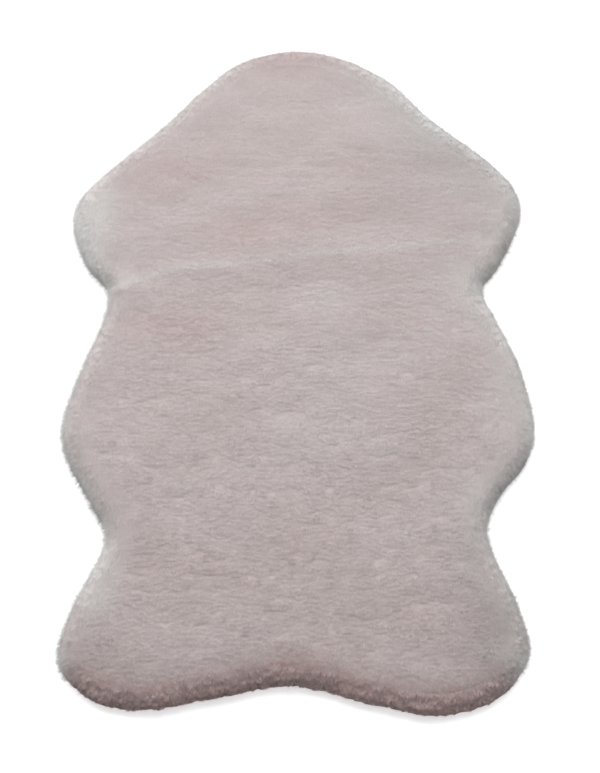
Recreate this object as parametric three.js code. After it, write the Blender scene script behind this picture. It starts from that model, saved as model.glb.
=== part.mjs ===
// Plush rug cut to the outline of a hide: one dense slab of short pile, soft and uneven on
// top, rolled over at its edge, with short locks of pile standing out all round its rim
import * as THREE from 'three';
import { mergeVertices } from 'three/addons/utils/BufferGeometryUtils.js';

// Driving dimensions, in millimetres
const rugWidth = 600;
const rugLength = 900;
const pileHeight = 28.5;

// Stations all round the rim, of which every second one goes on over the top
const rimStations = 300;

// Outline at the tips of the pile, from the head round to the feet, left and right of each stage
const outlineStages = [
  { stage: 'brow', leftX: -78, leftY: 432, rightX: 64, rightY: 436 },
  { stage: 'temple', leftX: -132, leftY: 388, rightX: 125, rightY: 402 },
  { stage: 'nape', leftX: -180, leftY: 337, rightX: 176, rightY: 349 },
  { stage: 'shoulder top', leftX: -256, leftY: 267, rightX: 254, rightY: 284 },
  { stage: 'shoulder', leftX: -290, leftY: 227, rightX: 288, rightY: 242 },
  { stage: 'shoulder side', leftX: -296, leftY: 192, rightX: 294, rightY: 204 },
  { stage: 'armpit', leftX: -277, leftY: 132, rightX: 263, rightY: 132 },
  { stage: 'waist', leftX: -249, leftY: 97, rightX: 241, rightY: 99 },
  { stage: 'hip', leftX: -252, leftY: 62, rightX: 256, rightY: 62 },
  { stage: 'flank top', leftX: -277, leftY: -3, rightX: 284, rightY: -3 },
  { stage: 'flank', leftX: -300, leftY: -86, rightX: 300, rightY: -86 },
  { stage: 'flank underside', leftX: -292, leftY: -128, rightX: 291, rightY: -127 },
  { stage: 'groin', leftX: -259, leftY: -188, rightX: 250, rightY: -182 },
  { stage: 'hollow', leftX: -241, leftY: -228, rightX: 237, rightY: -222 },
  { stage: 'heel', leftX: -279, leftY: -316, rightX: 272, rightY: -315 },
  { stage: 'foot side', leftX: -293, leftY: -372, rightX: 283, rightY: -368 },
  { stage: 'foot corner', leftX: -279, leftY: -409, rightX: 266, rightY: -408 },
  { stage: 'toe', leftX: -246, leftY: -435, rightX: 238, rightY: -433 },
  { stage: 'sole', leftX: -192, leftY: -445, rightX: 170, rightY: -451 },
  { stage: 'inner sole', leftX: -106, leftY: -432, rightX: 93, rightY: -439 },
];
const crown = { x: -3, y: 450 };
const crotch = { x: -6, y: -416 };

// Section of the rim from the underside up and over: how far each line lies inside the tips,
// how high it is, and how much of the unevenness of the side and of the top it takes
const rimProfile = [
  { line: 'hem', inset: 16, height: 0, sideShare: 0, topShare: 0 },
  { line: 'tuck', inset: 9, height: 5, sideShare: 0.6, topShare: 0 },
  { line: 'belly', inset: 5.5, height: 12, sideShare: 1, topShare: 0 },
  { line: 'cheek', inset: 7.5, height: 19, sideShare: 1, topShare: 0.3 },
  { line: 'brow', inset: 14, height: 25, sideShare: 0.6, topShare: 0.7 },
  { line: 'crest', inset: 27, height: pileHeight, sideShare: 0.2, topShare: 1 },
];

// Locks of pile that hang over the rim like shingles: the line that each row grows above, its
// first cell, and how far out and down from its roots its tips reach
const lockRows = [
  { above: 'tuck', firstCell: 0, out: 6.5, drop: 4.5 },
  { above: 'belly', firstCell: 1, out: 6.5, drop: 5.5 },
  { above: 'cheek', firstCell: 2, out: 9.5, drop: 4 },
];
const lockCellStep = 3;
const lockSizeSpread = 0.3;
const lockSwaySpread = 1.8;

// A lock bows: halfway along it lies further out and less far down than a straight one
const lockWaist = { size: 0.72, out: 0.6, drop: 0.3, sway: 0.4 };

// The pile lies a little towards the feet, and the tips of the locks go with it
const napLean = 1.2;
const napDirection = new THREE.Vector3(0, -1, 0);
const upward = new THREE.Vector3(0, 0, 1);

// Lines on the top inside its crest, as shares of the way to the spine, a middle line that
// runs from the head to the feet
const topShares = [0.08, 0.2, 0.33, 0.46, 0.6, 0.74, 0.88];
const spineHead = 320;
const spineFeet = -330;

// Soft unevenness of the pile: cell width and length of its waves, and their depth
const topLumps = [
  { cellX: 95, cellY: 60, depth: 1.8, seed: 11 },
  { cellX: 42, cellY: 24, depth: 1.3, seed: 23 },
];
const sideLumps = { cell: 21, depth: 1.4, seed: 37 };

// Swells where the pile stands up and troughs where it parts: points along each, its half
// width, and its height, below zero for a trough
const pileFolds = [
  {
    fold: 'swell across the back',
    height: 2,
    halfWidth: 26,
    points: [[-232, 100], [-150, 116], [-84, 122], [-42, 143], [24, 149], [132, 151], [176, 154]],
  },
  {
    fold: 'hollow below the swell',
    height: -1.6,
    halfWidth: 30,
    points: [[-200, 60], [-120, 78], [-30, 96], [60, 102], [150, 108]],
  },
  {
    fold: 'parting at the head',
    height: -1.5,
    halfWidth: 15,
    points: [[-64, 359], [-20, 354], [32, 361], [76, 368]],
  },
  {
    fold: 'dent at the left waist',
    height: -2.5,
    halfWidth: 20,
    points: [[-240, 129], [-205, 125]],
  },
  {
    fold: 'dent at the right flank',
    height: -1.8,
    halfWidth: 20,
    points: [[255, -168], [222, -142]],
  },
];

// Repeatable value from -1 to 1 for each corner of a lattice
function latticeValue(column, row, seed) {
  let mix = Math.imul(column, 374761393) + Math.imul(row, 668265263) + Math.imul(seed, 2246822519);
  mix = Math.imul(mix ^ (mix >>> 13), 1274126177);
  return ((mix ^ (mix >>> 16)) >>> 0) / 2147483647.5 - 1;
}

// Smooth wave between the corners of the lattice
function softWave(u, v, seed) {
  const column = Math.floor(u);
  const row = Math.floor(v);
  const acrossShare = THREE.MathUtils.smoothstep(u - column, 0, 1);
  const alongShare = THREE.MathUtils.smoothstep(v - row, 0, 1);
  const near = THREE.MathUtils.lerp(
    latticeValue(column, row, seed), latticeValue(column + 1, row, seed), acrossShare);
  const far = THREE.MathUtils.lerp(
    latticeValue(column, row + 1, seed), latticeValue(column + 1, row + 1, seed), acrossShare);
  return THREE.MathUtils.lerp(near, far, alongShare);
}

// Distance from a place on the top to the nearest stretch of a fold
function distanceToFold(x, y, points) {
  const place = new THREE.Vector2(x, y);
  let nearest = Infinity;
  for (let i = 1; i < points.length; i += 1) {
    const start = new THREE.Vector2(...points[i - 1]);
    const run = new THREE.Vector2(...points[i]).sub(start);
    const share = THREE.MathUtils.clamp(place.clone().sub(start).dot(run) / run.lengthSq(), 0, 1);
    nearest = Math.min(nearest, place.distanceTo(start.addScaledVector(run, share)));
  }
  return nearest;
}

// Height of the pile's unevenness at a place on the top
function topRelief(x, y) {
  let relief = 0;
  for (const lump of topLumps) {
    relief += lump.depth * softWave(x / lump.cellX, y / lump.cellY, lump.seed);
  }
  for (const fold of pileFolds) {
    const away = distanceToFold(x, y, fold.points) / fold.halfWidth;
    relief += fold.height * Math.exp(-away * away);
  }
  return relief;
}

// Evenly spaced stations round the outline, clockwise from the crown, with outward directions
function outlineRing() {
  const rightSide = outlineStages.map((row) => new THREE.Vector3(row.rightX, row.rightY, 0));
  const leftSide = outlineStages.map((row) => new THREE.Vector3(row.leftX, row.leftY, 0)).reverse();
  const corners = [
    new THREE.Vector3(crown.x, crown.y, 0),
    ...rightSide,
    new THREE.Vector3(crotch.x, crotch.y, 0),
    ...leftSide,
  ];
  const curve = new THREE.CatmullRomCurve3(corners, true, 'centripetal');
  curve.arcLengthDivisions = rimStations * 8;
  const ring = [];
  for (let i = 0; i < rimStations; i += 1) {
    const along = i / rimStations;
    const tangent = curve.getTangentAt(along);
    ring.push({ place: curve.getPointAt(along), outward: new THREE.Vector3(-tangent.y, tangent.x, 0) });
  }
  return ring;
}

const vertices = [];
const faces = [];

function addVertex(place) {
  vertices.push(place);
  return vertices.length - 1;
}

// Faces are kept unless two of their corners fall together, as at the two ends of the spine
function addFaces(...corners) {
  faces.push(...corners.filter(([a, b, c]) => a !== b && b !== c && c !== a));
}

// One line of the rim, offset inward from the outline and raised
function rimLine(ring, profileRow, profileIndex) {
  return ring.map((station) => {
    const acrossCell = station.place.x / sideLumps.cell;
    const alongCell = station.place.y / sideLumps.cell;
    const wave = softWave(acrossCell, alongCell, sideLumps.seed + profileIndex);
    const inset = profileRow.inset - profileRow.sideShare * sideLumps.depth * wave;
    const place = station.place.clone().addScaledVector(station.outward, -inset);
    place.z = profileRow.height + profileRow.topShare * topRelief(place.x, place.y);
    return addVertex(place);
  });
}

// One lock: it narrows from its root, the four corners of a cell, to its waist and its tip
function addLock(root, outward, row, random) {
  const rootPlaces = root.map((index) => vertices[index]);
  const middle = new THREE.Vector3();
  rootPlaces.forEach((place) => middle.addScaledVector(place, 1 / root.length));
  const sideways = new THREE.Vector3(-outward.y, outward.x, 0);
  const size = 1 - lockSizeSpread * random();
  const sway = napLean * napDirection.dot(sideways) + lockSwaySpread * (random() - 0.5);
  const reached = (shares) => middle.clone()
    .addScaledVector(outward, shares.out * row.out * size)
    .addScaledVector(upward, -shares.drop * row.drop * size)
    .addScaledVector(sideways, shares.sway * sway);
  const waist = rootPlaces.map((place) => {
    const toSide = place.clone().sub(middle).multiplyScalar(lockWaist.size);
    return addVertex(reached(lockWaist).add(toSide));
  });
  const tip = addVertex(reached({ out: 1, drop: 1, sway: 1 }));
  for (let i = 0; i < root.length; i += 1) {
    const next = (i + 1) % root.length;
    addFaces([root[i], root[next], waist[next]], [root[i], waist[next], waist[i]]);
    addFaces([waist[i], waist[next], tip]);
  }
}

// Band between two lines of equal length, with a lock on every third cell of a row of locks
function addBand(lower, upper, ring, row, random) {
  for (let i = 0; i < lower.length; i += 1) {
    const next = (i + 1) % lower.length;
    const cell = [lower[next], lower[i], upper[i], upper[next]];
    if (row && (i + row.firstCell) % lockCellStep === 0) {
      addLock(cell, ring[i].outward.clone().add(ring[next].outward).normalize(), row, random);
    } else {
      addFaces([cell[0], cell[1], cell[2]], [cell[0], cell[2], cell[3]]);
    }
  }
}

// Band from a line to one with half as many stations
function addHalvingBand(outer, inner) {
  for (let i = 0; i < inner.length; i += 1) {
    const next = (i + 1) % inner.length;
    const middle = outer[2 * i + 1];
    const far = outer[(2 * i + 2) % outer.length];
    addFaces([middle, outer[2 * i], inner[i]]);
    addFaces([far, middle, inner[next]]);
    addFaces([middle, inner[i], inner[next]]);
  }
}

// Line of the top, a share of the way from the crest to the spine
function topLine(crest, share) {
  return crest.filter((_, i) => i % 2 === 0).map((index) => {
    const start = vertices[index];
    const spine = new THREE.Vector3(0, THREE.MathUtils.clamp(start.y, spineFeet, spineHead), 0);
    const place = start.clone().lerp(spine, share);
    place.z = pileHeight + topRelief(place.x, place.y);
    return addVertex(place);
  });
}

// Spine: facing stations of the left and the right side share one place on it
function spineLine(line) {
  const spine = [];
  for (let i = 0; i <= line.length / 2; i += 1) {
    const facing = (line.length - i) % line.length;
    const middleY = (vertices[line[i]].y + vertices[line[facing]].y) / 2;
    const y = THREE.MathUtils.clamp(middleY, spineFeet, spineHead);
    const above = spine[i - 1];
    const same = i > 0 && vertices[above].y === y;
    spine[i] = same ? above : addVertex(new THREE.Vector3(0, y, pileHeight + topRelief(0, y)));
    spine[facing] = spine[i];
  }
  return spine;
}

// Flat underside inside the hem, facing down
function addUnderside(hem) {
  const contour = hem.map((index) => new THREE.Vector2(vertices[index].x, vertices[index].y));
  for (const [a, b, c] of THREE.ShapeUtils.triangulateShape(contour, [])) {
    const toB = contour[b].clone().sub(contour[a]);
    const turnsLeft = toB.cross(contour[c].clone().sub(contour[a])) > 0;
    addFaces(turnsLeft ? [hem[a], hem[c], hem[b]] : [hem[a], hem[b], hem[c]]);
  }
}

// Small repeatable source of chance for the locks
function makeRandom(seed) {
  let draw = 0;
  return () => {
    draw += 1;
    return latticeValue(draw, seed, seed) / 2 + 0.5;
  };
}

// The whole rug: rim lines and locks, then the top in to its spine, then the underside
function rugGeometry() {
  const ring = outlineRing();
  const random = makeRandom(5);
  const rimLines = rimProfile.map((row, i) => rimLine(ring, row, i));
  for (let i = 1; i < rimLines.length; i += 1) {
    const row = lockRows.find((lock) => lock.above === rimProfile[i - 1].line);
    addBand(rimLines[i - 1], rimLines[i], ring, row, random);
  }

  const crest = rimLines[rimLines.length - 1];
  const topLines = topShares.map((share) => topLine(crest, share));
  addHalvingBand(crest, topLines[0]);
  for (let i = 1; i < topLines.length; i += 1) {
    addBand(topLines[i - 1], topLines[i]);
  }
  const innermost = topLines[topLines.length - 1];
  addBand(innermost, spineLine(innermost));
  addUnderside(rimLines[0]);

  const soup = new THREE.BufferGeometry();
  soup.setAttribute('position', new THREE.Float32BufferAttribute(
    vertices.flatMap((place) => [place.x, place.y, place.z]), 3));
  soup.setIndex(faces.flat());
  const geometry = mergeVertices(soup, 1e-3);

  // The measured outline is brought to the rug's exact width and length, about its middle
  geometry.computeBoundingBox();
  const size = geometry.boundingBox.getSize(new THREE.Vector3());
  const middle = geometry.boundingBox.getCenter(new THREE.Vector3());
  geometry.translate(-middle.x, -middle.y, 0);
  geometry.scale(rugWidth / size.x, rugLength / size.y, 1);
  geometry.computeVertexNormals();
  return geometry;
}

const pileMaterial = new THREE.MeshStandardMaterial({
  name: 'pile',
  color: new THREE.Color().setRGB(0.73, 0.69, 0.68, THREE.SRGBColorSpace),
  roughness: 0.95,
  metalness: 0,
});

const rug = new THREE.Mesh(rugGeometry(), pileMaterial);
rug.name = 'rug';

const group = new THREE.Group();
group.add(rug);

export default group;
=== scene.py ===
import math
import time

import bmesh
import bpy
import numpy as np
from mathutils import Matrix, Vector
from mathutils.bvhtree import BVHTree


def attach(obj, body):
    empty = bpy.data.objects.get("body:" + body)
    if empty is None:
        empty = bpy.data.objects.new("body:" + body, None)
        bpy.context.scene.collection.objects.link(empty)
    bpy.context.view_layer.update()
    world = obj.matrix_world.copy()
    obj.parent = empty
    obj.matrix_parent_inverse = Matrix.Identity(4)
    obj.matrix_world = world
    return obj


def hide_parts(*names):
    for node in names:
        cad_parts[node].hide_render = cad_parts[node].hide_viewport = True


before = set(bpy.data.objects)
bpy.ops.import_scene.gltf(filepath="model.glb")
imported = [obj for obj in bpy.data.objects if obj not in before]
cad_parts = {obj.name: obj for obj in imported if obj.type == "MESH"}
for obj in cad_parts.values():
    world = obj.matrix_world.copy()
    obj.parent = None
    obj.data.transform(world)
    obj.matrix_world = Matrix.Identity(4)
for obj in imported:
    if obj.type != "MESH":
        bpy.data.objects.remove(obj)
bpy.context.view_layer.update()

mm = 0.001  # sizes below are in millimetres, and the meshes are in metres
startTime = time.time()


def report(stage):
    print(f"[rug] {stage}: {time.time() - startTime:.1f} s")


# The camera, as the picture was taken: from in front of the feet, high over the rug
cameraSet = {
    "distance": 2200,
    "elevation": 72,  # degrees above the floor
    "aimX": 2.6,
    "aimY": -24,
    "lens": 79.9,
    "sensor": 36,  # its long side
}


def makeCamera(a):
    tilt = math.radians(a["elevation"])
    place = (a["aimX"], a["aimY"] - a["distance"] * math.cos(tilt), a["distance"] * math.sin(tilt))
    bpy.ops.object.camera_add(location=[c * mm for c in place], rotation=(math.pi / 2 - tilt, 0, 0))
    camera = bpy.context.object
    camera.data.lens = a["lens"]
    camera.data.sensor_width = a["sensor"]
    bpy.context.scene.camera = camera


# Soft studio light: a large lamp behind and above the head, and a weaker one from each side
lightSet = {
    "worldColor": (1.0, 1.0, 1.0),
    "worldStrength": 0.38,
    "lamps": [
        {"name": "backLamp", "place": (100, 1750, 3000), "size": 2800, "watts": 95, "aim": (0, 0, 0)},
        {"name": "sideLamp", "place": (-1900, 1300, 1500), "size": 1200, "watts": 40, "aim": (0, 0, 0)},
        {"name": "rightLamp", "place": (1900, 1300, 1500), "size": 1200, "watts": 20, "aim": (0, 0, 0)},
    ],
}


def makeLights(a):
    world = bpy.data.worlds.new("studio")
    world.use_nodes = True
    world.node_tree.nodes["Background"].inputs["Color"].default_value = (*a["worldColor"], 1)
    world.node_tree.nodes["Background"].inputs["Strength"].default_value = a["worldStrength"]
    bpy.context.scene.world = world
    bpy.context.scene.view_settings.view_transform = "Standard"
    for lamp in a["lamps"]:
        place = Vector(lamp["place"]) * mm
        toward = Vector(lamp["aim"]) * mm - place
        turn = toward.to_track_quat("-Z", "Y").to_euler()
        bpy.ops.object.light_add(type="AREA", location=place, rotation=turn)
        light = bpy.context.object
        light.name = lamp["name"]
        light.data.size = lamp["size"] * mm
        light.data.energy = lamp["watts"]


# A pale floor that glows a little, so that it shows as white
floorSet = {"size": 30000, "color": (0.8, 0.8, 0.8), "glow": 0.5, "roughness": 0.9}


def makeFloor(a):
    bpy.ops.object.select_all(action="DESELECT")
    bpy.ops.mesh.primitive_plane_add(size=a["size"] * mm, location=(0, 0, 0))
    floor = bpy.context.object
    floor.name = "floor"
    paint = bpy.data.materials.new("floorPaint")
    paint.use_nodes = True
    shader = paint.node_tree.nodes["Principled BSDF"]
    shader.inputs["Base Color"].default_value = (*a["color"], 1)
    shader.inputs["Roughness"].default_value = a["roughness"]
    shader.inputs["Emission Color"].default_value = (1, 1, 1, 1)
    shader.inputs["Emission Strength"].default_value = a["glow"]
    floor.data.materials.append(paint)


makeCamera(cameraSet)
makeLights(lightSet)
makeFloor(floorSet)
report("camera, light and floor")


# From 0 at the start to 1 at the end, and level beyond both
def fade(value, start, end):
    return np.clip((value - start) / (end - start), 0, 1)


# The same share, but gentle at both ends
def eased(share):
    return share * share * (3 - 2 * share)


def unit(vectors):
    return vectors / (np.linalg.norm(vectors, axis=1)[:, None] + 1e-9)


noiseSet = {"columns": 1024, "rows": 256, "start": 64}  # the lattice, and the cell that lies at 0


# Soft noise on a lattice, from -1 to 1, with cells of a given width and length
def softNoise(u, v, cellU, cellV, seed, wrapU=0):
    columns = noiseSet["columns"]
    rows = noiseSet["rows"]
    lattice = np.random.default_rng(seed).uniform(-1, 1, (columns, rows))
    gu = np.asarray(u) / cellU + noiseSet["start"]
    gv = np.asarray(v) / cellV + noiseSet["start"]
    iu = np.floor(gu).astype(int)
    iv = np.floor(gv).astype(int)
    su = eased(gu - iu)
    sv = eased(gv - iv)
    turns = wrapU or columns
    a = lattice[iu % turns, iv % rows]
    b = lattice[(iu + 1) % turns, iv % rows]
    c = lattice[iu % turns, (iv + 1) % rows]
    d = lattice[(iu + 1) % turns, (iv + 1) % rows]
    return (a * (1 - su) + b * su) * (1 - sv) + (c * (1 - su) + d * su) * sv


# Noise from one entry of a dictionary, which gives its cells and seed
def cellNoise(cells, u, v):
    return softNoise(u, v, cells["across"], cells["along"], cells["seed"])


# The CAD slab gives the outline, at its hem, and the height of the top everywhere
slabSet = {
    "hemInset": 16,  # of the slab's hem on the floor, from the outline of the tips
    "stations": 1000,
    "curveParts": 8,  # between two of the slab's own corners
    "onFloor": 0.01,  # a face lies on the floor if none of its corners is higher
    "weldDigits": 2,
    "mapStep": 4,
    "mapHalfWidth": 320,
    "mapHalfLength": 470,
    "mapPart": 4000,  # places that are worked out at once
    "reliefInset": 20,  # the slab's top is read this far inside the outline
}


def hemLoop(a, node):
    mesh = node.data
    corners = np.zeros(len(mesh.vertices) * 3)
    mesh.vertices.foreach_get("co", corners)
    corners = corners.reshape(-1, 3) / mm
    merged, same = np.unique(np.round(corners, a["weldDigits"]), axis=0, return_inverse=True)
    same = same.reshape(-1)
    uses = {}
    for face in mesh.polygons:
        loop = [int(same[i]) for i in face.vertices]
        if max(merged[i][2] for i in loop) < a["onFloor"]:
            for i, j in zip(loop, loop[1:] + loop[:1]):
                uses[(i, j)] = True
    onward = {i: j for i, j in uses if (j, i) not in uses}
    first = min(onward, key=lambda i: (-merged[i][1], merged[i][0]))
    ring = [first]
    while onward[ring[-1]] != first:
        ring.append(onward[ring[-1]])
    ring = merged[ring][:, :2]
    area = np.sum(ring[:, 0] * np.roll(ring[:, 1], -1) - np.roll(ring[:, 0], -1) * ring[:, 1])
    if area > 0:
        ring = ring[::-1]  # clockwise, seen from above
    return ring


def outwardOf(ring):
    along = np.roll(ring, -1, 0) - np.roll(ring, 1, 0)
    along /= np.linalg.norm(along, axis=1)[:, None]
    return np.stack([-along[:, 1], along[:, 0]], 1)


# A closed curve through the ring's points, cut into even steps
def smoothRing(a, ring):
    before = np.roll(ring, 1, 0)
    after = np.roll(ring, -1, 0)
    later = np.roll(ring, -2, 0)
    fine = []
    for share in np.linspace(0, 1, a["curveParts"], endpoint=False):
        fine.append(0.5 * (2 * ring + (after - before) * share
                           + (2 * before - 5 * ring + 4 * after - later) * share ** 2
                           + (3 * ring - before - 3 * after + later) * share ** 3))
    fine = np.stack(fine, 1).reshape(-1, 2)
    steps = np.linalg.norm(np.roll(fine, -1, 0) - fine, axis=1)
    travelled = np.concatenate([[0], np.cumsum(steps)])
    closed = np.vstack([fine, fine[:1]])
    wanted = np.linspace(0, travelled[-1], a["stations"], endpoint=False)
    return np.stack([np.interp(wanted, travelled, closed[:, k]) for k in (0, 1)], 1)


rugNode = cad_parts["rug"]
hem = smoothRing(slabSet, hemLoop(slabSet, rugNode))
tipRing = smoothRing(slabSet, hem + outwardOf(hem) * slabSet["hemInset"])
tipOutward = outwardOf(tipRing)
ringLength = float(np.sum(np.linalg.norm(np.roll(tipRing, -1, 0) - tipRing, axis=1)))


# Two maps of the rug on one grid: how far inside the outline a place is, and the slab's relief
class RugMap:
    def __init__(self, a, topHeight):
        self.step = a["mapStep"]
        self.low = (-a["mapHalfWidth"], -a["mapHalfLength"])
        xs = np.arange(self.low[0], 1 - self.low[0], self.step)
        ys = np.arange(self.low[1], 1 - self.low[1], self.step)
        gx, gy = np.meshgrid(xs, ys, indexing="ij")
        places = np.stack([gx.ravel(), gy.ravel()], 1)
        inside = np.zeros(len(places))
        for start in range(0, len(places), a["mapPart"]):
            part = places[start:start + a["mapPart"]]
            gaps = part[:, None, :] - tipRing[None, :, :]
            squares = np.einsum("ijk,ijk->ij", gaps, gaps)
            nearest = squares.argmin(1)
            side = np.einsum("ij,ij->i", gaps[np.arange(len(part)), nearest], tipOutward[nearest])
            inside[start:start + a["mapPart"]] = -np.sign(side) * np.sqrt(squares.min(1))
        self.inside = inside.reshape(gx.shape)
        mesh = rugNode.data
        tree = BVHTree.FromPolygons([v.co for v in mesh.vertices], [p.vertices[:] for p in mesh.polygons])
        relief = np.zeros(len(places))
        for i in np.flatnonzero(inside > a["reliefInset"]):
            above = Vector((places[i, 0] * mm, places[i, 1] * mm, 1))
            hit = tree.ray_cast(above, Vector((0, 0, -1)))[0]
            relief[i] = hit.z / mm - topHeight if hit else 0
        self.relief = relief.reshape(gx.shape)
        self.slopeX, self.slopeY = np.gradient(self.inside, self.step)

    def read(self, grid, x, y):
        u = np.clip((np.asarray(x) - self.low[0]) / self.step, 0, grid.shape[0] - 1.001)
        v = np.clip((np.asarray(y) - self.low[1]) / self.step, 0, grid.shape[1] - 1.001)
        i = u.astype(int)
        j = v.astype(int)
        u = u - i
        v = v - j
        low = grid[i, j] * (1 - u) + grid[i + 1, j] * u
        high = grid[i, j + 1] * (1 - u) + grid[i + 1, j + 1] * u
        return low * (1 - v) + high * v


pileSet = {
    "height": 28.5,  # tips over the floor
    "underTips": 1.2,  # the body lies this far under the tips
    "rimUnder": 0.8,  # and this much further half-way up the rim
    "frontUnder": 1.4,  # and this share more in front
    "crestInset": 30,
    "rimRows": 18,
    "topRows": 46,
    # sections of the rim at the tips, inset and height: rounded at the back and sides,
    # steep where a lobe turns to the feet, and sloped in front
    "backSection": [(15, 1.4), (8.5, 5), (4.2, 10.5), (3.2, 15.5), (7, 21.5), (15, 26.2), (30, 28.5)],
    "lobeSection": [(13, 1.2), (6, 3.5), (3.2, 7), (3.4, 11.5), (6.5, 17.8), (12, 23.6), (30, 27.8)],
    "frontSection": [(16, 1.4), (10.5, 5), (7, 9), (6.6, 12.5), (10, 16.8), (18.5, 22), (30, 25.5)],
    "frontFall": 3,  # the top still falls this much towards the front crest
    "lobeFall": 0.7,
    "frontReach": 62,
    "spineHead": 320,  # the body's top closes on a line along the rug's middle, between these places
    "spineFeet": -330,
    "clumps": [  # soft clumps of pile on the top
        {"across": 20, "along": 9, "depth": 0.38, "seed": 3},
        {"across": 8, "along": 3.4, "depth": 0.34, "seed": 4},
        {"across": 5, "along": 2.4, "depth": 0.2, "seed": 5},
    ],
    "clumpHead": 0.3,  # share of the clumps' depth at the head, where the pile is smoothest
    "rimClumps": [  # at the rim the clumps run down over the edge
        {"around": 14, "down": 12, "depth": 0.4, "seed": 6},
        {"around": 5, "down": 7, "depth": 0.35, "seed": 7},
        {"around": 3, "down": 4, "depth": 0.15, "seed": 8},
    ],
    "clumpFade": 0.25,  # share of the section over which they fade in at the hem and out at the crest
    "frontRagged": 2.6,  # how much rougher the clumps are in front
    "rimBlend": (22, 48),  # from the rim's clumps to the top's, inside the outline
    "reliefFrom": 0.375,  # share of the section from which the rim takes up the slab's relief
    "crestFrom": 0.36,  # and from which it runs inward to the crest
    "lowest": 0.3,  # no hair lies lower over the floor
}
rugMap = RugMap(slabSet, pileSet["height"])
report("outline and height maps")


# A smooth curve through a section's points, which ends with the given slope of the top
def sectionOf(table, shares, fall, reach):
    table = np.array(table, float)
    steps = np.linalg.norm(np.diff(table, axis=0), axis=1)
    along = np.concatenate([[0], np.cumsum(steps)])
    wanted = np.clip(shares, 0, 1) * along[-1]
    at = np.clip(np.searchsorted(along, wanted, side="right") - 1, 0, len(table) - 2)
    share = (wanted - along[at]) / steps[at]
    slopes = np.gradient(table, along, axis=0)
    slopes[-1] = np.array([1, 2 * fall / reach]) / math.hypot(1, 2 * fall / reach)
    h = steps[at][:, None]
    s = share[:, None]
    before = table[at]
    after = table[at + 1]
    return (before * (2 * s ** 3 - 3 * s ** 2 + 1) + after * (3 * s ** 2 - 2 * s ** 3)
            + slopes[at] * h * (s ** 3 - 2 * s ** 2 + s) + slopes[at + 1] * h * (s ** 3 - s ** 2))


def rimSection(a, shares, front, lobe):
    front = front[:, None]
    lobe = lobe[:, None]
    reach = a["frontReach"] - a["crestInset"]
    return (sectionOf(a["backSection"], shares, 0, reach) * (1 - front - lobe)
            + sectionOf(a["lobeSection"], shares, a["lobeFall"], reach) * lobe
            + sectionOf(a["frontSection"], shares, a["frontFall"], reach) * front)


def sectionLength(a):
    return float(np.sum(np.linalg.norm(np.diff(np.array(a["backSection"], float), axis=0), axis=1)))


# Where on the rug the front edge, the lobes' sides that face the feet, and the head begin and are full
placeSet = {
    "feet": (-300, -360),  # places along the rug
    "head": (-150, 300),
    "frontFacing": (0.3, 0.8),  # how far the outline is turned to the feet
    "lobeFacing": (0.1, 0.55),
    "lobeShade": 0.6,  # share of its section up to which a lobe's foot has painted shade
    "lobeShadeRight": 0.14,  # and how much further on the right
    "lobeShadeFade": 0.42,
    "frontShade": (0.9, 0.4),  # shares of the section where the front's painted shade begins and is full
    "frontShadeLeast": 0.25,
    "frontRose": (0.75, 1),  # shares where the front's painted shade, a deeper rose tone, starts to fade, and ends
    "frontRoseLost": 0.35,
}


def toHead(y):
    return fade(np.asarray(y), *placeSet["head"])


def toRight(outward):
    return np.clip(outward[:, 0], 0, 1)


def facingShares(outward, y):
    atFeet = fade(np.asarray(y), *placeSet["feet"])
    front = eased(fade(-outward[:, 1], *placeSet["frontFacing"])) * atFeet
    return front, eased(fade(-outward[:, 1], *placeSet["lobeFacing"])) * (1 - atFeet)


# The foot of a lobe, as a share of its section: there it has painted shade, and its hairs stand up more
def lobeLow(share, outward):
    top = placeSet["lobeShade"] + placeSet["lobeShadeRight"] * toRight(outward)
    return eased(fade(share, top, top - placeSet["lobeShadeFade"]))


# How much of the front's painted shade a place on the section gets; its hairs also stand up more and stray
# further by it
def frontLow(share):
    least = placeSet["frontShadeLeast"]
    return least + (1 - least) * fade(share, *placeSet["frontShade"])


# How much of the front's painted deeper rose a place on the section keeps
def frontPaintedRose(share):
    return 1 - placeSet["frontRoseLost"] * fade(share, *placeSet["frontRose"])


def frontNear(a, inside):
    return fade(inside, a["frontReach"], a["crestInset"]) ** 2


def insideOf(a, share):
    return a["crestInset"] * fade(share, a["crestFrom"], 1)


def topClumps(a, x, y):
    relief = 0
    for clump in a["clumps"]:
        relief = relief + clump["depth"] * cellNoise(clump, x, y)
    return relief * (1 - toHead(y) * (1 - a["clumpHead"]))


def rimClumps(a, around, down):
    relief = 0
    for clump in a["rimClumps"]:
        count = int(round(ringLength / clump["around"]))
        noise = softNoise(around, down, ringLength / count, clump["down"], clump["seed"], count)
        relief = relief + clump["depth"] * noise
    return relief


def outwardAt(x, y):
    slope = np.stack([rugMap.read(rugMap.slopeX, x, y), rugMap.read(rugMap.slopeY, x, y)], 1)
    return -slope / (np.linalg.norm(slope, axis=1)[:, None] + 1e-6)


# Height of the pile's top at a place, sunk under the tips, and how far inside the outline that is
def topSurface(a, x, y, sink, clumpy=1):
    inside = rugMap.read(rugMap.inside, x, y)
    blend = fade(inside, *a["rimBlend"])
    z = a["height"] + rugMap.read(rugMap.relief, x, y) + clumpy * topClumps(a, x, y) * blend
    front, lobe = facingShares(outwardAt(x, y), y)
    reach = a["frontReach"]
    near = (np.clip(reach - inside, 0, reach) / (reach - a["crestInset"])) ** 2
    z = z - (a["frontFall"] * front + a["lobeFall"] * lobe) * near
    return z - sink * (1 + a["frontUnder"] * front * np.minimum(near, 1)), inside


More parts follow.
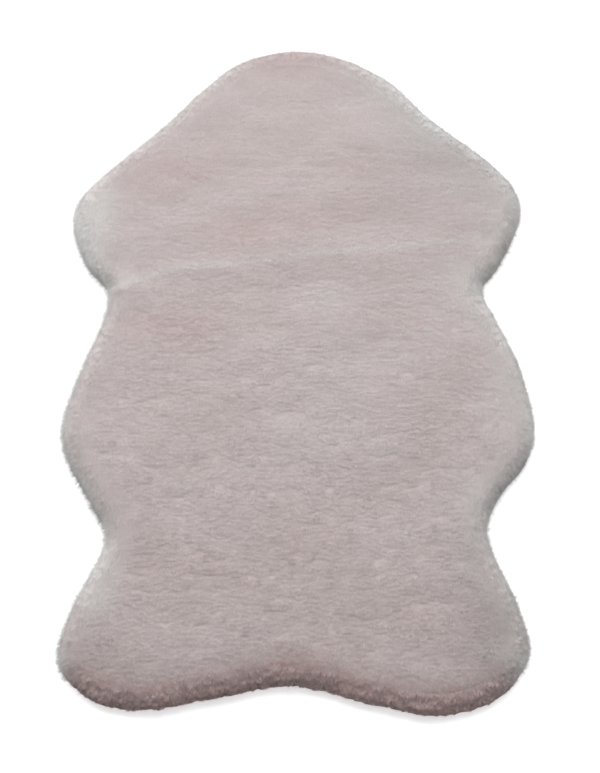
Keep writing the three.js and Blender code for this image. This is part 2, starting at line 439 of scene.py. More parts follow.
# Places on the rim, with the way out of them: around is in millimetres along the outline,
# and share runs from the hem, 0, to the crest, 1
def rimSurface(a, around, share, sink, clumpy=1):
    place = (np.asarray(around) / ringLength * len(tipRing)) % len(tipRing)
    i = place.astype(int) % len(tipRing)
    j = (i + 1) % len(tipRing)
    part = (place - np.floor(place))[:, None]
    base = tipRing[i] * (1 - part) + tipRing[j] * part
    outward = tipOutward[i] * (1 - part) + tipOutward[j] * part
    outward /= np.linalg.norm(outward, axis=1)[:, None]
    front, lobe = facingShares(outward, base[:, 1])
    section = rimSection(a, share, front, lobe)
    nearby = 0.01
    turn = unit(rimSection(a, share + nearby, front, lobe) - rimSection(a, share - nearby, front, lobe))
    # the section climbs with z as inset grows, so its outside is out and up
    outAndUp = np.stack([turn[:, 1], turn[:, 0]], 1)
    clump = clumpy * rimClumps(a, around, share * sectionLength(a)) * fade(share, 0, a["clumpFade"])
    clump = clump * fade(share, 1, 1 - a["clumpFade"]) * (1 + front * a["frontRagged"])
    push = clump - sink * (1 + a["frontUnder"] * front)
    relief = rugMap.read(rugMap.relief, *(base - outward * a["crestInset"]).T)
    relief = relief * fade(share, a["reliefFrom"], 1)
    flat = base - outward * section[:, :1] + outward * (push * outAndUp[:, 0])[:, None]
    z = section[:, 1] + push * outAndUp[:, 1] + relief
    normal = np.concatenate([outward * outAndUp[:, :1], outAndUp[:, 1:]], 1)
    return np.column_stack([flat, z]), normal, outward


# The rim's own directions at a place: out of it, along the outline, and up the section
def rimDirections(a, around, share):
    gap = 1.4
    step = gap / sectionLength(a)
    later, base, _ = rimSurface(a, around + gap, share, 0)
    before = rimSurface(a, around - gap, share, 0)[0]
    higher = rimSurface(a, around, np.minimum(share + step, 1), 0)[0]
    lower = rimSurface(a, around, share - step, 0)[0]
    normal = unit(np.cross(higher - lower, later - before))
    normal *= np.sign(np.sum(normal * base, 1))[:, None]
    return normal, (later - before) / (2 * gap), unit(higher - lower)


def meshFromArrays(name, points, quads=None, triangles=None, closeFaces=()):
    mesh = bpy.data.meshes.new(name)
    faces = [f for f in (quads, triangles) if f is not None]
    loops = np.concatenate([f.ravel() for f in faces] + [np.array(f) for f in closeFaces]).astype(np.int32)
    sizes = np.concatenate([np.full(len(f), f.shape[1]) for f in faces]
                           + [np.array([len(f)]) for f in closeFaces]).astype(np.int32)
    mesh.vertices.add(len(points))
    mesh.vertices.foreach_set("co", (np.asarray(points) * mm).astype(np.float32).ravel())
    mesh.loops.add(len(loops))
    mesh.loops.foreach_set("vertex_index", loops)
    mesh.polygons.add(len(sizes))
    starts = np.concatenate([[0], np.cumsum(sizes)[:-1]]).astype(np.int32)
    mesh.polygons.foreach_set("loop_start", starts)
    mesh.polygons.foreach_set("use_smooth", np.ones(len(sizes), bool))
    mesh.update(calc_edges=True)
    mesh.validate()
    piece = bpy.data.objects.new(name, mesh)
    bpy.context.scene.collection.objects.link(piece)
    return piece


def bandQuads(rows, count):
    i = np.arange(count)
    j = (i + 1) % count
    quads = []
    for row in range(rows - 1):
        low = row * count
        high = low + count
        quads.append(np.stack([low + j, low + i, high + i, high + j], 1))
    return np.concatenate(quads)


# Every hair has a small place of its own on a map of tones, across, and of painted shade, as depths, up
mapSet = {"halfHair": 0.004, "edge": 0.02}

# The pile's tone: 0 is deep rose, a half is dusty pink and 1 is pale grey
toneSet = {
    "middle": 0.5,
    # paler grey near the outline: partly the pile's own colour, partly painted sheen where the tips catch
    # the light
    "rim": 0.5,
    "rimWidth": 15,
    "rightWidth": 20,  # the grey reaches further in along the right side
    # painted shade on the front edge: darker and a deeper rose, and mottled
    "front": -0.45,
    "frontMottle": {"tone": 0.35, "slant": 0.6, "across": 4.5, "along": 3.5, "seed": 63},
    "feet": -0.08,  # the lower third is a little deeper
    "feetFade": (-120, -400),
    "mottles": [
        {"tone": 0.07, "across": 110, "along": 55, "seed": 61},
        {"tone": 0.042, "across": 34, "along": 11, "seed": 62},
    ],
    "chance": 0.2,  # from hair to hair
    "chanceHead": 0.3,  # share of it that is left at the head
    "odd": 0.36,  # by up to this much a few hairs differ from the rest
    "oddShare": 0.01,  # one hair in a hundred
    "patches": [  # soft clouds of deeper or paler pile
        {"at": (-23, 190), "size": (120, 28), "turn": 9, "tone": -0.2},
        {"at": (-175, 253), "size": (62, 32), "turn": 0, "tone": -0.15},
        {"at": (-150, 42), "size": (74, 34), "turn": 4, "tone": -0.11},
        {"at": (111, 56), "size": (42, 24), "turn": 0, "tone": -0.14},
        {"at": (180, -70), "size": (80, 26), "turn": 62, "tone": -0.11},
        {"at": (41, 84), "size": (60, 22), "turn": 0, "tone": 0.12},
        {"at": (10, -10), "size": (90, 110), "turn": 0, "tone": 0.08},
        {"at": (3, 372), "size": (110, 18), "turn": 0, "tone": 0.05},
        {"at": (0, 445), "size": (120, 34), "turn": 0, "tone": -0.3},
        {"at": (190, 280), "size": (110, 60), "turn": -35, "tone": 0.1},
        {"at": (-268, 190), "size": (30, 70), "turn": -12, "tone": 0.28},
        {"at": (-236, -285), "size": (26, 60), "turn": -14, "tone": 0.25},
        {"at": (262, -425), "size": (46, 34), "turn": 30, "tone": 0.3},
    ],
    "paintedLightAndShadeLines": [  # painted highlights along lines where the pile catches the light, and painted shade where it parts
        {"tone": 0.2, "width": 4,
         "line": [(-238, 101), (-153, 125), (-62, 134), (29, 146), (132, 156), (237, 167)]},
        {"tone": -0.12, "width": 3, "line": [(-236, 92), (-150, 114), (-62, 124), (60, 140)]},
        {"tone": -0.12, "width": 3, "line": [(-236, 93), (-180, 90), (-126, 88)]},
        {"tone": 0.06, "width": 5, "line": [(-120, 215), (-40, 232), (60, 238)]},
        {"tone": 0.16, "width": 1.8, "line": [(-80, 362), (-48, 350), (-10, 348), (66, 357)]},
        {"tone": -0.1, "width": 1.8, "line": [(-80, 366), (-48, 354), (-10, 352)]},
        {"tone": 0.12, "width": 2.2, "line": [(-98, 256), (-50, 267), (0, 270)]},
        {"tone": -0.5, "width": 2.5, "line": [(153, 50), (161, 50)]},
    ],
}

# Painted shade, as how deep in the pile's colour a place seems: 0 is the tips' colour and 1 the roots'
paintedShadeSet = {
    "most": 0.9,
    "lobe": 0.88,  # painted shade low on a lobe's side that faces the feet
    "lobeFuzz": 0.7,  # share of it in the loose fuzz there
    # painted shade on the front edge, mottled and from hair to hair
    "frontMottle": {"depth": 0.8, "slant": 0.6, "across": 2.8, "along": 2.6, "seed": 64},
    "frontChance": 0.9,  # from hair to hair
    "wisps": {"depth": 0.2, "across": 9, "along": 3, "seed": 66},  # painted shade in fine streaks across the pile's lie
    "wispMean": 0.1,
    "wispHead": 0.25,  # share of them that is left at the head
    "wispWave": {"shift": 2.5, "across": 30, "along": 20, "seed": 65},  # they run a little up and down
    "wispPatches": {"across": 40, "along": 25, "seed": 67},  # and come in patches
    "strands": {"depth": 0.3, "width": 2.8, "down": 9, "seed": 68},  # painted shade in fine streaks down over the rim
    "strandFade": (1, 0.6),  # shares of the section where they begin and are full
    "strandMost": 0.92,
    "right": 0.02,  # painted shade along the right side
    "rightWidth": 20,
    "back": 0.26,  # and along the head
    "backWidth": 22,
    # soft patches of painted shade
    "patches": [
        {"at": (250, -370), "size": (60, 50), "turn": 0, "depth": 0.3},
        {"at": (-251, -370), "size": (46, 40), "turn": 0, "depth": 0.2},
        {"at": (170, 250), "size": (110, 80), "turn": -30, "depth": 0.16},
        {"at": (190, 300), "size": (110, 40), "turn": -40, "depth": 0.22},
        {"at": (230, -290), "size": (50, 80), "turn": 14, "depth": 0.3},
    ],
}


def gapToLine(line, x, y):
    gap = np.full(len(x), 1e9)
    for (x0, y0), (x1, y1) in zip(line, line[1:]):
        share = ((x - x0) * (x1 - x0) + (y - y0) * (y1 - y0)) / ((x1 - x0) ** 2 + (y1 - y0) ** 2)
        share = np.clip(share, 0, 1)
        gap = np.minimum(gap, np.hypot(x - x0 - share * (x1 - x0), y - y0 - share * (y1 - y0)))
    return gap


def patchShare(patch, x, y):
    turn = math.radians(patch["turn"])
    dx, dy = x - patch["at"][0], y - patch["at"][1]
    u = (dx * math.cos(turn) + dy * math.sin(turn)) / patch["size"][0]
    v = (dy * math.cos(turn) - dx * math.sin(turn)) / patch["size"][1]
    return np.exp(-(u * u + v * v) ** 1.5)


# Mottles of the front edge's painted shade, a little slanted across its slope
def frontNoise(cells, x, y, z):
    return cellNoise(cells, x + cells["slant"] * y, y + z)


def toneAt(a, x, y, z, inside, outward, front, chance=0.5):
    width = a["rimWidth"] + a["rightWidth"] * toRight(outward)
    tone = a["middle"] + a["rim"] * np.exp(-np.maximum(inside, 0) / width) * (1 - front)
    tone += a["front"] * front
    tone += a["feet"] * fade(y, *a["feetFade"])
    for mottle in a["mottles"]:
        tone += mottle["tone"] * cellNoise(mottle, x, y)
    tone += a["frontMottle"]["tone"] * front * frontNoise(a["frontMottle"], x, y, z)
    for patch in a["patches"]:
        tone += patch["tone"] * patchShare(patch, x, y)
    for streak in a["paintedLightAndShadeLines"]:
        tone += streak["tone"] * np.exp(-(gapToLine(streak["line"], x, y) / streak["width"]) ** 2)
    tone += a["chance"] * (1 - (1 - a["chanceHead"]) * toHead(y)) * (chance - 0.5)
    tone += a["odd"] * fade(np.abs(chance - 0.5), 0.5 - a["oddShare"] / 2, 0.5) * np.sign(chance - 0.5)
    return np.clip(tone, mapSet["edge"], 1 - mapSet["edge"])


# Painted shade in fine streaks across the pile's lie, fainter at the head
def wispsAt(a, x, y):
    wave = y + a["wispWave"]["shift"] * cellNoise(a["wispWave"], x, y)
    wisps = a["wispMean"] + cellNoise(a["wisps"], x, wave) * cellNoise(a["wispPatches"], x, y)
    return a["wisps"]["depth"] * (1 - (1 - a["wispHead"]) * toHead(y)) * wisps


# Painted shade at a place: low on the lobes, on the front edge, in streaks and patches, and along the right
# side and the head
def paintedShadeAt(a, x, y, z, outward, front, lobe, chance=0.5):
    inside = np.maximum(rugMap.read(rugMap.inside, x, y), 0)
    depth = a["lobe"] * lobe + wispsAt(a, x, y)
    depth += a["right"] * toRight(outward) * np.exp(-inside / a["rightWidth"])
    depth += a["back"] * np.clip(outward[:, 1], 0, 1) * np.exp(-inside / a["backWidth"])
    depth += front * a["frontMottle"]["depth"] * frontNoise(a["frontMottle"], x, y, z)
    depth += front * a["frontChance"] * (chance - 0.5)
    for patch in a["patches"]:
        depth += patch["depth"] * patchShare(patch, x, y)
    return np.clip(depth, 0, a["most"])


# The dense body of the pile, a closed slab just under the tips
def makePileBody(a):
    count = len(tipRing)
    around = np.arange(count) / count * ringLength
    rows = []
    tones = []
    paintedShades = []
    for share in np.linspace(0, 1, a["rimRows"]):
        shares = np.full(count, share)
        sink = a["underTips"] + a["rimUnder"] * 4 * share * (1 - share)
        places, _, outward = rimSurface(a, around, shares, sink, 0)
        front, lobe = facingShares(outward, places[:, 1])
        lobe = lobe * lobeLow(share, outward)
        rows.append(places)
        tones.append(toneAt(toneSet, *places.T, insideOf(a, shares), outward, front * frontPaintedRose(share)))
        paintedShades.append(paintedShadeAt(paintedShadeSet, *places.T, outward, front * frontLow(share), lobe))
    crest = rows[-1]
    mirror = (count - np.arange(count)) % count
    for share in np.linspace(0, 1, a["topRows"] + 1)[1:]:
        spineY = np.clip(crest[:, 1], a["spineFeet"], a["spineHead"])
        spineY = spineY * (1 - share) + share * (spineY + spineY[mirror]) / 2
        x = crest[:, 0] * (1 - share)
        y = crest[:, 1] * (1 - share) + spineY * share
        z, inside = topSurface(a, x, y, a["underTips"], 0)
        outward = outwardAt(x, y)
        front = facingShares(outward, y)[0] * frontNear(a, inside)
        rows.append(np.column_stack([x, y, z]))
        tones.append(toneAt(toneSet, x, y, z, inside, outward, front * frontPaintedRose(1)))
        paintedShades.append(paintedShadeAt(paintedShadeSet, x, y, z, outward, front * frontLow(1), 0))
    quads = bandQuads(len(rows), count)
    body = meshFromArrays("pileBody", np.concatenate(rows), quads, closeFaces=[np.arange(count)])
    # the body's tone, and its painted shade as a depth, go on its points
    for name, values in (("tone", tones), ("depth", paintedShades)):
        layer = body.data.attributes.new(name, "FLOAT", "POINT")
        layer.data.foreach_set("value", np.concatenate(values).astype(np.float32))
    shape = bmesh.new()
    shape.from_mesh(body.data)
    bmesh.ops.remove_doubles(shape, verts=shape.verts, dist=0.001 * mm)
    bmesh.ops.triangulate(shape, faces=[f for f in shape.faces if len(f.verts) > 4])
    bmesh.ops.recalc_face_normals(shape, faces=shape.faces)
    shape.to_mesh(body.data)
    shape.free()
    return body


body = makePileBody(pileSet)
report(f"pile body, {len(body.data.polygons)} faces")


# Hairs of pile: each is one slim pointed triangle with its root down in the body,
# or, where it bows over, with its wide end near the surface and its point down there
hairSet = {
    "step": 0.86,  # between hairs on the top
    "halfWidth": 300,  # of the field that they are set out in, which is then cut to the outline
    "rimDensity": 1.3,  # hairs in a square millimetre at the rim
    "rimFrom": 0.02,  # share of the section where they begin
    "crestBlend": 1,  # over which the hairs of the top give way to those of the rim
    "length": 7.5,
    "lengthSpread": 0.2,
    "width": 1.15,
    "widthSpread": 0.2,
    "rise": 12,  # degrees above the surface
    "riseSpread": 4,
    "frontRise": 22,  # degrees that it stands up more in front
    "lobeRise": 14,  # and low on a lobe's side that faces the feet
    "backRise": -7,  # and less on the wall behind the head
    "backFacing": (0, 0.5),  # how far the outline is turned to the head there
    "backShare": (0.95, 0.65),  # and the shares of the section where that wall begins and is full
    "scatter": 14,  # degrees that a hair strays to a side
    "frontScatter": 3,  # times as far in front
    "swirls": [  # degrees that the lay turns from place to place
        {"turn": 12, "across": 70, "along": 50, "seed": 71},
        {"turn": 7.2, "across": 22, "along": 16, "seed": 72},
    ],
    "edgeReach": 20,  # how far inside the outline the pile still leans outward
    "edgeFull": 6,
    "edgeFacing": (0.6, 0.1),  # how far the outline is turned to the head where that fades in
    "edgeLean": 0.65,
    "tipUnder": 0.2,
    "paintedRootShade": 0.75,  # painted shade: how much deeper the colour is at the root
    "softness": 0.9,  # share of the surface's own normal in the shading
    "bowed": 0.17,  # share of the hairs that bow over
    "bowedUnder": 0.55,  # how far its wide end lies under the tips
    "paintedBowedShade": 0.66,  # and how much deeper its painted shade is there
}

# Loose fuzz that stands out of the rim
fuzzSet = {
    "perLength": 14,  # hairs in a millimetre of the outline
    "low": 0.2,  # shares of the section between which it grows
    "high": 0.5,
    "width": 0.55,
    "widthSpread": 0.3,
    # painted shade at the root
    "paintedRootShade": 0.3,
    "softness": 0.9,
    "sunk": 2.5,
    "length": 3.5,
    "reach": 2.2,  # mean of what stands out further
    "reachMost": 8,
    "slant": 0.7,
    "liftLow": -0.2,
    "liftHigh": 0.6,
    "frontShare": 0.2,  # how much of it there is in front, on the right and under a lobe
    "rightShare": 0.7,
    "lobeShare": 0.5,
    "leftReach": 0.5,  # how much further it stands out on the left
}


# Turns a level direction with the surface, so that it lies in it
def carried(direction, normals):
    undermost = -0.8  # a steeper underside is treated as this one, which keeps the turn finite
    ahead = np.sum(direction * normals, 1) / (1 + np.maximum(normals[:, 2], undermost))
    return direction - (normals + [0, 0, 1]) * ahead[:, None]


# The way the pile leans: towards the feet, and outward too near the outline's sides
def layAt(a, places, normals, outward, inside):
    x, y = places[:, 0], places[:, 1]
    turn = np.radians(sum(swirl["turn"] * cellNoise(swirl, x, y) for swirl in a["swirls"]))
    nap = carried(np.stack([np.sin(turn), -np.cos(turn), np.zeros_like(x)], 1), normals)
    over = carried(np.column_stack([outward, np.zeros_like(x)]), normals)
    atSides = fade(outward[:, 1], *a["edgeFacing"])
    edge = a["edgeLean"] * atSides * np.exp(-(np.maximum(inside - a["edgeFull"], 0) / a["edgeReach"]) ** 2)
    lay = nap * (1 - edge)[:, None] + over * edge[:, None]
    return unit(lay - normals * np.sum(lay * normals, 1)[:, None])


def scattered(a, lay, normals, front, chance):
    turn = np.radians(a["scatter"]) * (1 + (a["frontScatter"] - 1) * front) * (chance * 2 - 1)
    return lay * np.cos(turn)[:, None] + np.cross(normals, lay) * np.sin(turn)[:, None]


def hairShape(a, front, lobe, back, chance):
    rise = a["rise"] + a["frontRise"] * front + a["lobeRise"] * lobe + a["backRise"] * back
    rise = np.radians(rise + a["riseSpread"] * (1 + front) * (chance[:, 1] * 2 - 1))
    length = a["length"] * (1 + a["lengthSpread"] * (chance[:, 2] * 2 - 1))
    bowed = chance[:, 5] < a["bowed"]
    sunk = length * np.sin(rise) + a["tipUnder"]
    rootSunk = np.where(bowed, a["bowedUnder"], sunk)
    return length * np.cos(rise), rootSunk, np.where(bowed, sunk, a["tipUnder"]), bowed


# Each hair is a triangle of its own, with the pile's soft shading and a place on the map
def makeHairs(a, name, roots, tips, side, chance, normals, tone, depth, bowed):
    count = len(roots)
    width = a["width"] * (1 + a["widthSpread"] * (chance * 2 - 1))
    side = side * (width / 2)[:, None]
    points = np.stack([roots + side, tips, roots - side], 1)
    points[:, :, 2] = np.maximum(points[:, :, 2], pileSet["lowest"])
    flat = unit(np.cross(points[:, 1] - points[:, 0], points[:, 2] - points[:, 0]))
    over = np.sum(flat * normals, 1) < 0
    points[over] = points[over][:, ::-1]
    flat[over] *= -1
    piece = meshFromArrays(name, points.reshape(-1, 3), triangles=np.arange(count * 3).reshape(-1, 3))
    shade = unit(normals * a["softness"] + flat * (1 - a["softness"]))
    piece.data.normals_split_custom_set_from_vertices(np.repeat(shade, 3, 0))
    us = np.stack([tone - mapSet["halfHair"], tone, tone + mapSet["halfHair"]], 1)
    # painted shade up the map: from the depth, deeper toward the root and at a bowed hair's wide end
    near = 1 - depth
    base = np.where(bowed, near * (1 - hairSet["paintedBowedShade"]), near - a["paintedRootShade"])
    vs = np.stack([base, near - np.where(bowed, a["paintedRootShade"], 0), base], 1)
    layer = piece.data.uv_layers.new(name="OFBake")
    corner = np.zeros(count * 3, np.int32)
    piece.data.loops.foreach_get("vertex_index", corner)
    uvs = np.stack([us.ravel()[corner], np.clip(vs.ravel()[corner], mapSet["edge"], 1 - mapSet["edge"])], 1)
    layer.data.foreach_set("uv", uvs.astype(np.float32).ravel())
    return piece


def topNormals(a, x, y):
    gap = 1.5
    zx = topSurface(a, x + gap, y, 0)[0] - topSurface(a, x - gap, y, 0)[0]
    zy = topSurface(a, x, y + gap, 0)[0] - topSurface(a, x, y - gap, 0)[0]
    return unit(np.stack([-zx / (2 * gap), -zy / (2 * gap), np.ones_like(zx)], 1))


def topHairs(a, name, seed, low, high):
    rng = np.random.default_rng(seed)
    step = a["step"]
    across = np.arange(-a["halfWidth"], a["halfWidth"], step)
    gx, gy = np.meshgrid(across, np.arange(low, high, step), indexing="ij")
    x = (gx + rng.uniform(0, step, gx.shape)).ravel()
    y = (gy + rng.uniform(0, step, gy.shape)).ravel()
    inside = rugMap.read(rugMap.inside, x, y)
    keep = inside > pileSet["crestInset"] + rng.uniform(-1, 1, len(inside)) * a["crestBlend"]
    x, y = x[keep], y[keep]
    z, inside = topSurface(pileSet, x, y, 0)
    tips = np.column_stack([x, y, z])
    normals = topNormals(pileSet, x, y)
    outward = outwardAt(x, y)
    chance = rng.uniform(0, 1, (len(x), 6))
    near = facingShares(outward, y)[0] * frontNear(pileSet, inside)
    front = near * frontLow(1)
    lay = scattered(a, layAt(a, tips, normals, outward, inside), normals, front, chance[:, 0])
    run, rootSunk, tipSunk, bowed = hairShape(a, front, 0, 0, chance)
    roots = tips - lay * run[:, None] - normals * rootSunk[:, None]
    tips = tips - normals * tipSunk[:, None]
    tone = toneAt(toneSet, x, y, z, inside, outward, near * frontPaintedRose(1), chance[:, 4])
    paintedShade = paintedShadeAt(paintedShadeSet, x, y, z, outward, front, 0, chance[:, 2])
    return makeHairs(a, name, roots, tips, np.cross(normals, lay), chance[:, 3], normals, tone, paintedShade, bowed)


# Painted shade in fine streaks down over the rim
def strandsAt(a, around, share):
    strands = a["strands"]
    count = int(ringLength / strands["width"])
    down = share * sectionLength(pileSet)
    noise = softNoise(around, down, ringLength / count, strands["down"], strands["seed"], count)
    return strands["depth"] * noise * fade(share, *a["strandFade"])


def rimHairs(a, name, seed):
    rng = np.random.default_rng(seed)
    count = int(a["rimDensity"] * ringLength * sectionLength(pileSet))
    around = rng.uniform(0, ringLength, count)
    share = rng.uniform(a["rimFrom"], 1, count)
    tips, _, outward = rimSurface(pileSet, around, share, 0)
    normals, along, upward = rimDirections(pileSet, around, share)
    front, lobe = facingShares(outward, tips[:, 1])
    lobe = lobe * lobeLow(share, outward)
    rose = front * frontPaintedRose(share)
    front = front * frontLow(share)
    back = fade(outward[:, 1], *a["backFacing"]) * fade(share, *a["backShare"])
    inside = insideOf(pileSet, share)
    chance = rng.uniform(0, 1, (count, 6))
    chance[:, 5] += (1 - front) * a["bowed"]  # fewer hairs bow over away from the front
    lay = scattered(a, layAt(a, tips, normals, outward, inside), normals, front, chance[:, 0])
    run, rootSunk, tipSunk, bowed = hairShape(a, front, lobe, back, chance)
    # the root lies back along the lay, on the same curved surface, or on the top past the crest
    stretch = np.linalg.norm(along, axis=1)
    rootAround = around - run * np.sum(lay * along, 1) / stretch ** 2
    rootShare = share - run * np.sum(lay * upward, 1) / sectionLength(pileSet)
    past = np.maximum(rootShare - 1, 0) * sectionLength(pileSet)
    rootShare = np.clip(rootShare, 0, 1)
    roots, _, rootOutward = rimSurface(pileSet, rootAround, rootShare, 0)
    roots = roots - np.column_stack([rootOutward, np.zeros(count)]) * past[:, None]
    roots = roots - rimDirections(pileSet, rootAround, rootShare)[0] * rootSunk[:, None]
    tone = toneAt(toneSet, *tips.T, inside, outward, rose, chance[:, 4])
    paintedShade = paintedShadeAt(paintedShadeSet, *tips.T, outward, front, lobe, chance[:, 2])
    paintedShade = np.clip(paintedShade + strandsAt(paintedShadeSet, around, share), 0, paintedShadeSet["strandMost"])
    tips = tips - normals * tipSunk[:, None]
    return makeHairs(a, name, roots, tips, np.cross(normals, lay), chance[:, 3], normals, tone, paintedShade, bowed)


def rimFuzz(a, name, seed):
    rng = np.random.default_rng(seed)
    count = int(a["perLength"] * ringLength)
    around = rng.uniform(0, ringLength, count)
    share = rng.uniform(a["low"], a["high"], count)
    roots, _, outward = rimSurface(pileSet, around, share, a["sunk"])
    front, lobe = facingShares(outward, roots[:, 1])
    grown = 1 - front * (1 - a["frontShare"]) - toRight(outward) * (1 - a["rightShare"])
    keep = rng.uniform(0, 1, count) < grown - lobe * (1 - a["lobeShare"])
    roots, outward, front, lobe = roots[keep], outward[keep], front[keep], lobe[keep]
    count = len(roots)
    chance = rng.uniform(0, 1, (count, 4))
    slide = (chance[:, 0] * 2 - 1) * a["slant"]
    lift = a["liftLow"] + (a["liftHigh"] - a["liftLow"]) * chance[:, 1]
    level = outward + np.stack([outward[:, 1], -outward[:, 0]], 1) * slide[:, None]
    point = unit(np.column_stack([level, lift]))
    reach = a["reach"] * (1 + a["leftReach"] * toRight(-outward))
    rarest = 0.001  # so that the logarithm stays finite
    length = a["length"] + np.minimum(-np.log(1 - chance[:, 2] * (1 - rarest)) * reach, a["reachMost"])
    tips = roots + point * length[:, None]
    upward = np.tile([0.0, 0.0, 1.0], (count, 1))
    tone = toneAt(toneSet, *roots.T, np.zeros(count), outward, front)
    paintedShade = paintedShadeAt(paintedShadeSet, *roots.T, outward, front, lobe * paintedShadeSet["lobeFuzz"])
    normals = unit(upward + np.column_stack([outward, np.zeros(count)]))
    side = unit(np.cross(upward, point))
    return makeHairs(a, name, roots, tips, side, chance[:, 3], normals, tone, paintedShade, np.zeros(count, bool))


# The hairs of the top in four pieces along the rug, from the feet to the head, then the rim's
topPieces = [
    {"name": "pileFeet", "from": -460, "to": -230, "seed": 100},
    {"name": "pileBack", "from": -230, "to": 20, "seed": 101},
    {"name": "pileShoulders", "from": 20, "to": 225, "seed": 102},
    {"name": "pileHead", "from": 225, "to": 460, "seed": 103},
]
hairPieces = []
for part in topPieces:
    hairPieces.append(topHairs(hairSet, part["name"], part["seed"], part["from"], part["to"]))
hairPieces.append(rimHairs(hairSet, "pileRim", seed=200))
hairPieces.append(rimFuzz(fuzzSet, "rimFuzz", seed=300))
for piece in hairPieces:
    report(f"{piece.name}, {len(piece.data.polygons)} hairs")


# The ground cloth that the pile is knitted into, a thin sheet on the floor
clothSet = {"inset": 15, "thickness": 1.4}


def makeGroundCloth(a):
    count = len(tipRing)
    ring = tipRing - tipOutward * a["inset"]
    low = np.column_stack([ring, np.zeros(count)])
    high = np.column_stack([ring, np.full(count, a["thickness"])])
    quads = bandQuads(2, count)
    return meshFromArrays("groundCloth", np.concatenate([low, high]), quads,
                          closeFaces=[np.arange(count), np.arange(count)[::-1] + count])


cloth = makeGroundCloth(clothSet)
report("ground cloth")


finishSet = {
    "tips": [  # tone and colour, from deep rose to pale grey
        (0, (0.55, 0.405, 0.395)),
        (0.25, (0.54, 0.447, 0.438)),
        (0.5, (0.565, 0.493, 0.485)),
        (0.75, (0.605, 0.562, 0.552)),
        (1, (0.69, 0.684, 0.67)),
    ],
    "shade": [  # share of that colour which is left, from deep in the pile to the tips
        (0, (0.45, 0.45, 0.45)),
        (0.25, (0.725, 0.725, 0.725)),
        (1, (1, 1, 1)),
    ],
    "bodyDepth": 0.375,  # the body shows between the hairs, so it is this deep in the shade
    "bodyGrain": 0.44,
    "bodyGrainScale": 420,
    "bodyRelief": 0.4,
    "roughness": 0.9,
    "shine": 0.2,
    "sheen": 0.25,
    "sheenRoughness": 0.4,
    "cloth": [(0, (0.4, 0.37, 0.355)), (1, (0.68, 0.65, 0.63))],
    "clothGrain": 0.5,
    "clothGrainScale": 700,
    "knitColumn": 1.6,  # width of a column of stitches
    "knitRow": 1.1,
    "waveLength": 0.314,  # of Blender's wave texture at a scale of 1, in metres
    "knitWander": 1.2,
    "knitRelief": 0.3,
}


def newMaterial(name, a):
    material = bpy.data.materials.new(name)
    material.use_nodes = True
    shader = material.node_tree.nodes["Principled BSDF"]
    shader.inputs["Roughness"].default_value = a["roughness"]
    shader.inputs["Specular IOR Level"].default_value = a["shine"]
    shader.inputs["Sheen Weight"].default_value = a["sheen"]
    shader.inputs["Sheen Roughness"].default_value = a["sheenRoughness"]
    return material, material.node_tree.nodes, material.node_tree.links, shader


def rampThrough(nodes, colors):
    ramp = nodes.new("ShaderNodeValToRGB")
    stops = ramp.color_ramp.elements
    for place, _ in colors[1:-1]:
        stops.new(place)
    for stop, (_, color) in zip(stops, colors):
        stop.color = (*color, 1)
    return ramp


def newGroup(name, inputs, outputs):
    group = bpy.data.node_groups.new(name, "ShaderNodeTree")
    for socket, kind in inputs:
        group.interface.new_socket(socket, in_out="INPUT", socket_type=kind)
    for socket, kind in outputs:
        group.interface.new_socket(socket, in_out="OUTPUT", socket_type=kind)
    return group, group.nodes.new("NodeGroupInput"), group.nodes.new("NodeGroupOutput")


def placeGroup(nodes, group):
    node = nodes.new("ShaderNodeGroup")
    node.node_tree = group
    return node


def addMath(nodes, links, operation, first, second):
    step = nodes.new("ShaderNodeMath")
    step.operation = operation
    for socket, value in zip(step.inputs, (first, second)):
        if isinstance(value, (int, float)):
            socket.default_value = value
        else:
            links.new(value, socket)
    return step.outputs["Value"]


# The pile's colour from its tone and from its share left unshaded by painted shade, 1 at the tips
def makePileShade(a):
    group, given, result = newGroup(
        "pileShade", [("Tone", "NodeSocketFloat"), ("Unshaded Share", "NodeSocketFloat")],
        [("Color", "NodeSocketColor")])
    hue = rampThrough(group.nodes, a["tips"])
    paintedShade = rampThrough(group.nodes, a["shade"])
    mix = group.nodes.new("ShaderNodeMix")
    mix.data_type = "RGBA"
    mix.blend_type = "MULTIPLY"
    mix.inputs["Factor"].default_value = 1
    group.links.new(given.outputs["Tone"], hue.inputs["Fac"])
    group.links.new(given.outputs["Unshaded Share"], paintedShade.inputs["Fac"])
    group.links.new(hue.outputs["Color"], mix.inputs["A"])
    group.links.new(paintedShade.outputs["Color"], mix.inputs["B"])
    group.links.new(mix.outputs["Result"], result.inputs["Color"])
    return group


# Fine irregular fibre, as a value round 0 for shading and as a height for relief
def makeFiberGrain():
    group, given, result = newGroup(
        "fiberGrain", [("Scale", "NodeSocketFloat"), ("Strength", "NodeSocketFloat")],
        [("Shade", "NodeSocketFloat"), ("Height", "NodeSocketFloat")])
    place = group.nodes.new("ShaderNodeTexCoord")
    noise = group.nodes.new("ShaderNodeTexNoise")
    group.links.new(place.outputs["Object"], noise.inputs["Vector"])
    group.links.new(given.outputs["Scale"], noise.inputs["Scale"])
    shade = addMath(group.nodes, group.links, "SUBTRACT", noise.outputs["Fac"], 0.5)
    shade = addMath(group.nodes, group.links, "MULTIPLY", shade, given.outputs["Strength"])
    group.links.new(shade, result.inputs["Shade"])
    group.links.new(noise.outputs["Fac"], result.inputs["Height"])
    return group


def addBump(nodes, links, height, distance, shader):
    bump = nodes.new("ShaderNodeBump")
    bump.inputs["Distance"].default_value = distance * mm
    links.new(height, bump.inputs["Height"])
    links.new(bump.outputs["Normal"], shader.inputs["Normal"])


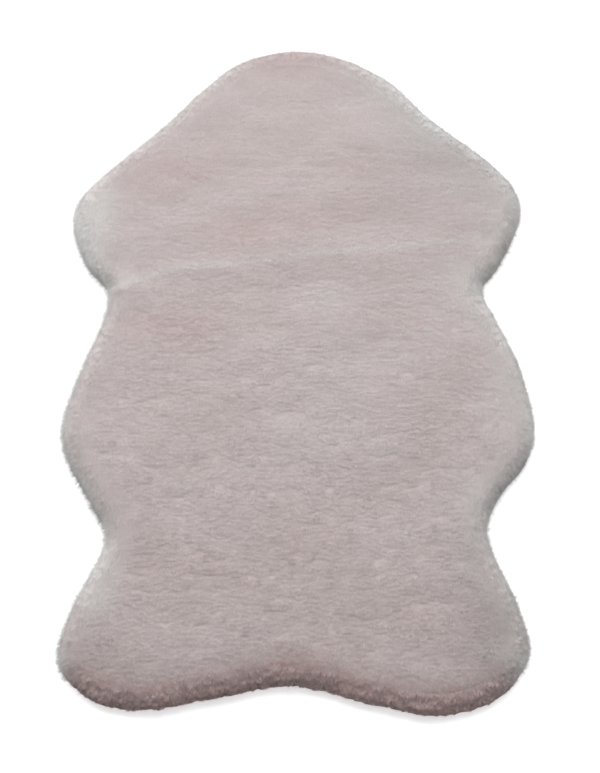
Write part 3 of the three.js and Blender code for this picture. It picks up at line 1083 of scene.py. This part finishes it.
def hairFinish(a):
    material, nodes, links, shader = newMaterial("hairFinish", a)
    uv = nodes.new("ShaderNodeUVMap")
    uv.uv_map = "OFBake"  # across is the tone, and up is the share left unshaded by painted shade, 1 at the tips
    split = nodes.new("ShaderNodeSeparateXYZ")
    shade = placeGroup(nodes, pileShade)
    links.new(uv.outputs["UV"], split.inputs["Vector"])
    links.new(split.outputs["X"], shade.inputs["Tone"])
    links.new(split.outputs["Y"], shade.inputs["Unshaded Share"])
    links.new(shade.outputs["Color"], shader.inputs["Base Color"])
    return material


def bodyFinish(a):
    material, nodes, links, shader = newMaterial("bodyFinish", a)
    tone = nodes.new("ShaderNodeAttribute")
    tone.attribute_name = "tone"
    # the depth attribute holds the painted shade
    depth = nodes.new("ShaderNodeAttribute")
    depth.attribute_name = "depth"
    grain = placeGroup(nodes, fiberGrain)
    grain.inputs["Scale"].default_value = a["bodyGrainScale"]
    grain.inputs["Strength"].default_value = a["bodyGrain"]
    shade = placeGroup(nodes, pileShade)
    near = addMath(nodes, links, "SUBTRACT", 1 - a["bodyDepth"], depth.outputs["Fac"])
    near = addMath(nodes, links, "ADD", near, grain.outputs["Shade"])
    links.new(tone.outputs["Fac"], shade.inputs["Tone"])
    links.new(near, shade.inputs["Unshaded Share"])
    links.new(shade.outputs["Color"], shader.inputs["Base Color"])
    addBump(nodes, links, grain.outputs["Height"], a["bodyRelief"], shader)
    return material


# Knitted ground cloth: columns of stitches along the rug, crossed by finer rows
def clothFinish(a):
    material, nodes, links, shader = newMaterial("clothFinish", a)
    place = nodes.new("ShaderNodeTexCoord")
    waves = []
    for direction, width in (("X", a["knitColumn"]), ("Y", a["knitRow"])):
        wave = nodes.new("ShaderNodeTexWave")
        wave.bands_direction = direction
        wave.inputs["Scale"].default_value = a["waveLength"] / (width * mm)
        wave.inputs["Distortion"].default_value = a["knitWander"]
        links.new(place.outputs["Object"], wave.inputs["Vector"])
        waves.append(wave.outputs["Fac"])
    knit = addMath(nodes, links, "MULTIPLY", *waves)
    grain = placeGroup(nodes, fiberGrain)
    grain.inputs["Scale"].default_value = a["clothGrainScale"]
    grain.inputs["Strength"].default_value = a["clothGrain"]
    tone = addMath(nodes, links, "ADD", knit, grain.outputs["Shade"])
    ramp = rampThrough(nodes, a["cloth"])
    links.new(tone, ramp.inputs["Fac"])
    links.new(ramp.outputs["Color"], shader.inputs["Base Color"])
    addBump(nodes, links, knit, a["knitRelief"], shader)
    return material


pileShade = makePileShade(finishSet)
fiberGrain = makeFiberGrain()
hairMaterial = hairFinish(finishSet)
for piece in hairPieces:
    piece.data.materials.append(hairMaterial)
body.data.materials.append(bodyFinish(finishSet))
cloth.data.materials.append(clothFinish(finishSet))

for piece in [cloth, body, *hairPieces]:
    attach(piece, "root")
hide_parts("rug")
report("finishes and table")
